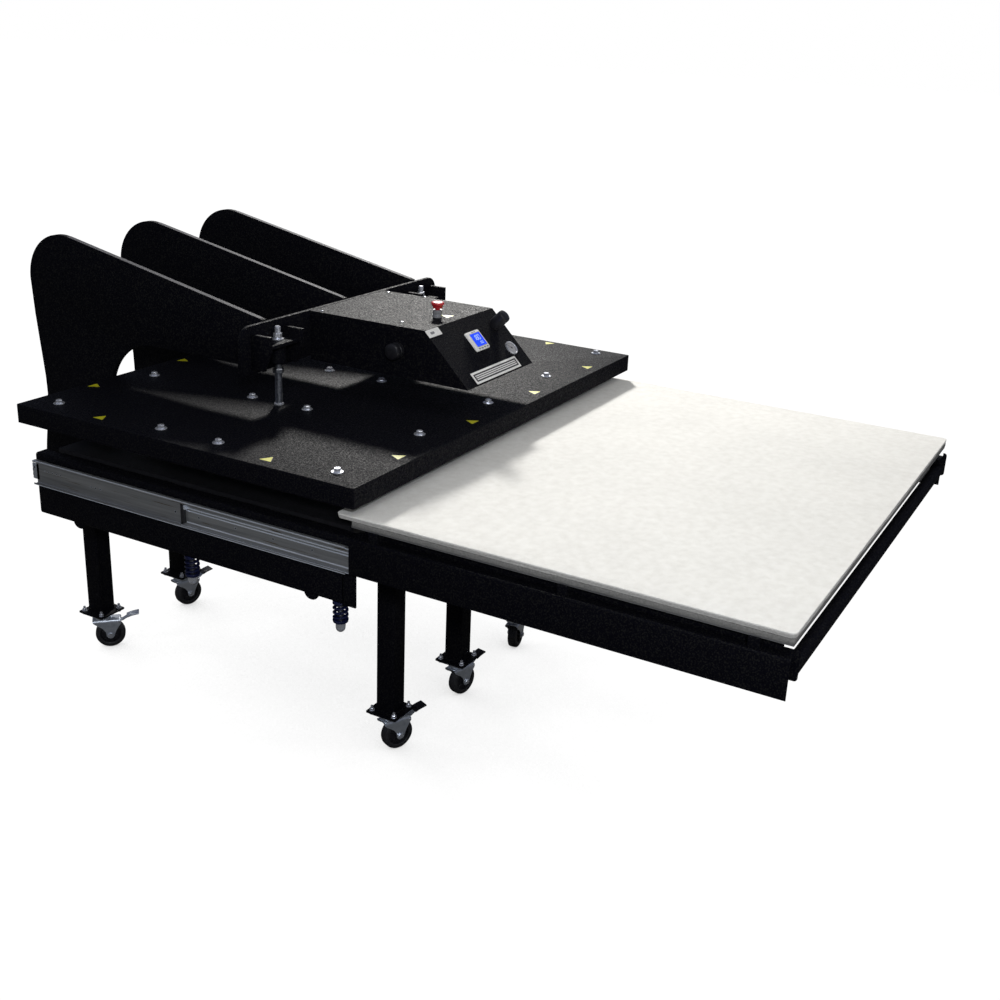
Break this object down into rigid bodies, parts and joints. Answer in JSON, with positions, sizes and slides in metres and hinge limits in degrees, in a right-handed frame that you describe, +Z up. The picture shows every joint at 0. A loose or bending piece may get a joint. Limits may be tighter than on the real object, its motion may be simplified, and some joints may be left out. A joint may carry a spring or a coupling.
{
  "type": "heat press",
  "caption": "Large air-operated heat press: heated platen hung from C frames over a pull-out padded table that lifts against it, on legs with braked casters.",
  "frame": {"origin": "on the floor, under the middle of the whole press with its table out", "axes": "+Z up, +Y from the operator towards the C frames' backs, +X to the operator's right"},
  "size_m": [1.676, 2.756, 1.452],
  "materials": {
    "powder_coat": "black fine-texture powder coat",
    "black_plastic": "moulded",
    "zinc_plate": "bright zinc plating",
    "bright_steel": "bright turned steel",
    "cast_aluminium": "as cast",
    "white_felt": "pressed felt",
    "grey_silicone": "sponge",
    "black_rubber": "matte",
    "navy_spring": "painted spring steel",
    "red_plastic": "moulded",
    "white_plastic": "moulded"
  },
  "bodies": {
    "frame": {"c_frame_left": "powder_coat", "c_frame_center": "powder_coat", "c_frame_right": "powder_coat", "base_frame": "powder_coat", "cross_beam": "powder_coat", "hanger_rod_left": "bright_steel", "hanger_rod_right": "bright_steel", "platen_cover": "powder_coat", "heater_plate": "cast_aluminium", "air_spring_left": "black_rubber", "air_spring_center": "black_rubber", "air_spring_right": "black_rubber", "control_cover": "powder_coat", "control_tray": "zinc_plate", "temperature_controller": "white_plastic", "pressure_gauge": "bright_steel", "return_spring_front_left": "navy_spring", "return_spring_rear_left": "navy_spring", "return_spring_front_right": "navy_spring", "return_spring_rear_right": "navy_spring"},
    "lift": {"press_bed": "powder_coat", "rail_carrier_left": "powder_coat", "rail_carrier_right": "powder_coat", "slide_outer_left": "zinc_plate", "slide_outer_right": "zinc_plate", "spring_bolt_front_left": "bright_steel", "spring_bolt_rear_left": "bright_steel", "spring_bolt_front_right": "bright_steel", "spring_bolt_rear_right": "bright_steel"},
    "slide_left": {"slide_middle_left": "zinc_plate"},
    "slide_right": {"slide_middle_right": "zinc_plate"},
    "table": {"table_frame": "powder_coat", "table_plate": "cast_aluminium", "silicone_pad": "grey_silicone", "felt_pad": "white_felt", "pull_tube": "powder_coat", "slide_inner_left": "zinc_plate", "slide_inner_right": "zinc_plate"},
    "e_stop": {"e_stop_button": "red_plastic"},
    "palm_left": {"palm_button_left": "black_plastic"},
    "palm_right": {"palm_button_right": "black_plastic"},
    "regulator": {"regulator_knob": "black_plastic"},
    "fork_front_left": {"caster_fork_front_left": "zinc_plate"},
    "wheel_front_left": {"caster_wheel_front_left": "black_rubber"},
    "pedal_front_left": {"brake_pedal_front_left": "black_plastic"},
    "fork_front_center": {"caster_fork_front_center": "zinc_plate"},
    "wheel_front_center": {"caster_wheel_front_center": "black_rubber"},
    "pedal_front_center": {"brake_pedal_front_center": "black_plastic"},
    "fork_front_right": {"caster_fork_front_right": "zinc_plate"},
    "wheel_front_right": {"caster_wheel_front_right": "black_rubber"},
    "pedal_front_right": {"brake_pedal_front_right": "black_plastic"},
    "fork_rear_left": {"caster_fork_rear_left": "zinc_plate"},
    "wheel_rear_left": {"caster_wheel_rear_left": "black_rubber"},
    "pedal_rear_left": {"brake_pedal_rear_left": "black_plastic"},
    "fork_rear_center": {"caster_fork_rear_center": "zinc_plate"},
    "wheel_rear_center": {"caster_wheel_rear_center": "black_rubber"},
    "pedal_rear_center": {"brake_pedal_rear_center": "black_plastic"},
    "fork_rear_right": {"caster_fork_rear_right": "zinc_plate"},
    "wheel_rear_right": {"caster_wheel_rear_right": "black_rubber"},
    "pedal_rear_right": {"brake_pedal_rear_right": "black_plastic"}
  },
  "joints": [
    {"name": "lift_slide", "type": "slide", "parent": "frame", "child": "lift", "axis": [0, 0, 1], "range_m": [0, 0.029], "stiffness_N_per_m": 40000, "deforming": ["return_spring_front_left", "return_spring_rear_left", "return_spring_front_right", "return_spring_rear_right", "air_spring_left", "air_spring_center", "air_spring_right"]},
    {"name": "table_slide", "type": "slide", "parent": "lift", "child": "table", "axis": [0, 1, 0], "range_m": [0, 1.133]},
    {"name": "slide_left_run", "type": "slide", "parent": "lift", "child": "slide_left", "axis": [0, 1, 0], "range_m": [0, 0.5665]},
    {"name": "slide_right_run", "type": "slide", "parent": "lift", "child": "slide_right", "axis": [0, 1, 0], "range_m": [0, 0.5665]},
    {"name": "e_stop_press", "type": "slide", "parent": "frame", "child": "e_stop", "axis": [0, 0, -1], "range_m": [0, 0.005], "stiffness_N_per_m": 2000, "springref_m": -0.003},
    {"name": "palm_left_press", "type": "slide", "parent": "frame", "child": "palm_left", "axis": [1, 0, 0], "range_m": [0, 0.004], "stiffness_N_per_m": 2000, "springref_m": -0.003},
    {"name": "palm_right_press", "type": "slide", "parent": "frame", "child": "palm_right", "axis": [-1, 0, 0], "range_m": [0, 0.004], "stiffness_N_per_m": 2000, "springref_m": -0.003},
    {"name": "regulator_turn", "type": "hinge", "parent": "frame", "child": "regulator", "pos_m": [0.14, -0.06431, 1.25269], "axis": [0, -0.7071, 0.7071], "range_deg": [-720, 720]},
    {"name": "swivel_front_left", "type": "hinge", "parent": "frame", "child": "fork_front_left", "pos_m": [-0.396, -0.053, 0.1375], "axis": [0, 0, 1], "continuous": true},
    {"name": "roll_front_left", "type": "hinge", "parent": "fork_front_left", "child": "wheel_front_left", "pos_m": [-0.37407, -0.06276, 0.0508], "axis": [0.4067, 0.9135, 0], "continuous": true},
    {"name": "brake_front_left", "type": "hinge", "parent": "fork_front_left", "child": "pedal_front_left", "pos_m": [-0.34484, -0.07578, 0.099], "axis": [0.4067, 0.9135, 0], "range_deg": [0, 12]},
    {"name": "swivel_front_center", "type": "hinge", "parent": "frame", "child": "fork_front_center", "pos_m": [0, -0.053, 0.1375], "axis": [0, 0, 1], "continuous": true},
    {"name": "roll_front_center", "type": "hinge", "parent": "fork_front_center", "child": "wheel_front_center", "pos_m": [0.02348, -0.05799, 0.0508], "axis": [0.2079, 0.9781, 0], "continuous": true},
    {"name": "brake_front_center", "type": "hinge", "parent": "fork_front_center", "child": "pedal_front_center", "pos_m": [0.05478, -0.06464, 0.099], "axis": [0.2079, 0.9781, 0], "range_deg": [0, 12]},
    {"name": "swivel_front_right", "type": "hinge", "parent": "frame", "child": "fork_front_right", "pos_m": [0.396, -0.053, 0.1375], "axis": [0, 0, 1], "continuous": true},
    {"name": "roll_front_right", "type": "hinge", "parent": "fork_front_right", "child": "wheel_front_right", "pos_m": [0.41964, -0.04883, 0.0508], "axis": [-0.1736, 0.9848, 0], "continuous": true},
    {"name": "brake_front_right", "type": "hinge", "parent": "fork_front_right", "child": "pedal_front_right", "pos_m": [0.45115, -0.04328, 0.099], "axis": [-0.1736, 0.9848, 0], "range_deg": [0, 12]},
    {"name": "swivel_rear_left", "type": "hinge", "parent": "frame", "child": "fork_rear_left", "pos_m": [-0.396, 1.174, 0.1375], "axis": [0, 0, 1], "continuous": true},
    {"name": "roll_rear_left", "type": "hinge", "parent": "fork_rear_left", "child": "wheel_rear_left", "pos_m": [-0.37903, 1.15703, 0.0508], "axis": [0.7071, 0.7071, 0], "continuous": true},
    {"name": "brake_rear_left", "type": "hinge", "parent": "fork_rear_left", "child": "pedal_rear_left", "pos_m": [-0.3564, 1.1344, 0.099], "axis": [0.7071, 0.7071, 0], "range_deg": [0, 12]},
    {"name": "swivel_rear_center", "type": "hinge", "parent": "frame", "child": "fork_rear_center", "pos_m": [0, 1.174, 0.1375], "axis": [0, 0, 1], "continuous": true},
    {"name": "roll_rear_center", "type": "hinge", "parent": "fork_rear_center", "child": "wheel_rear_center", "pos_m": [0.02295, 1.16698, 0.0508], "axis": [0.2924, 0.9563, 0], "continuous": true},
    {"name": "brake_rear_center", "type": "hinge", "parent": "fork_rear_center", "child": "pedal_rear_center", "pos_m": [0.05355, 1.15763, 0.099], "axis": [0.2924, 0.9563, 0], "range_deg": [0, 12]},
    {"name": "swivel_rear_right", "type": "hinge", "parent": "frame", "child": "fork_rear_right", "pos_m": [0.396, 1.174, 0.1375], "axis": [0, 0, 1], "continuous": true},
    {"name": "roll_rear_right", "type": "hinge", "parent": "fork_rear_right", "child": "wheel_rear_right", "pos_m": [0.41566, 1.16023, 0.0508], "axis": [0.5736, 0.8191, 0], "continuous": true},
    {"name": "brake_rear_right", "type": "hinge", "parent": "fork_rear_right", "child": "pedal_rear_right", "pos_m": [0.44187, 1.14188, 0.099], "axis": [0.5736, 0.8191, 0], "range_deg": [0, 12]}
  ],
  "couplings": [
    {"joint": "slide_left_run", "follows": "table_slide", "ratio": 0.5},
    {"joint": "slide_right_run", "follows": "table_slide", "ratio": 0.5}
  ]
}
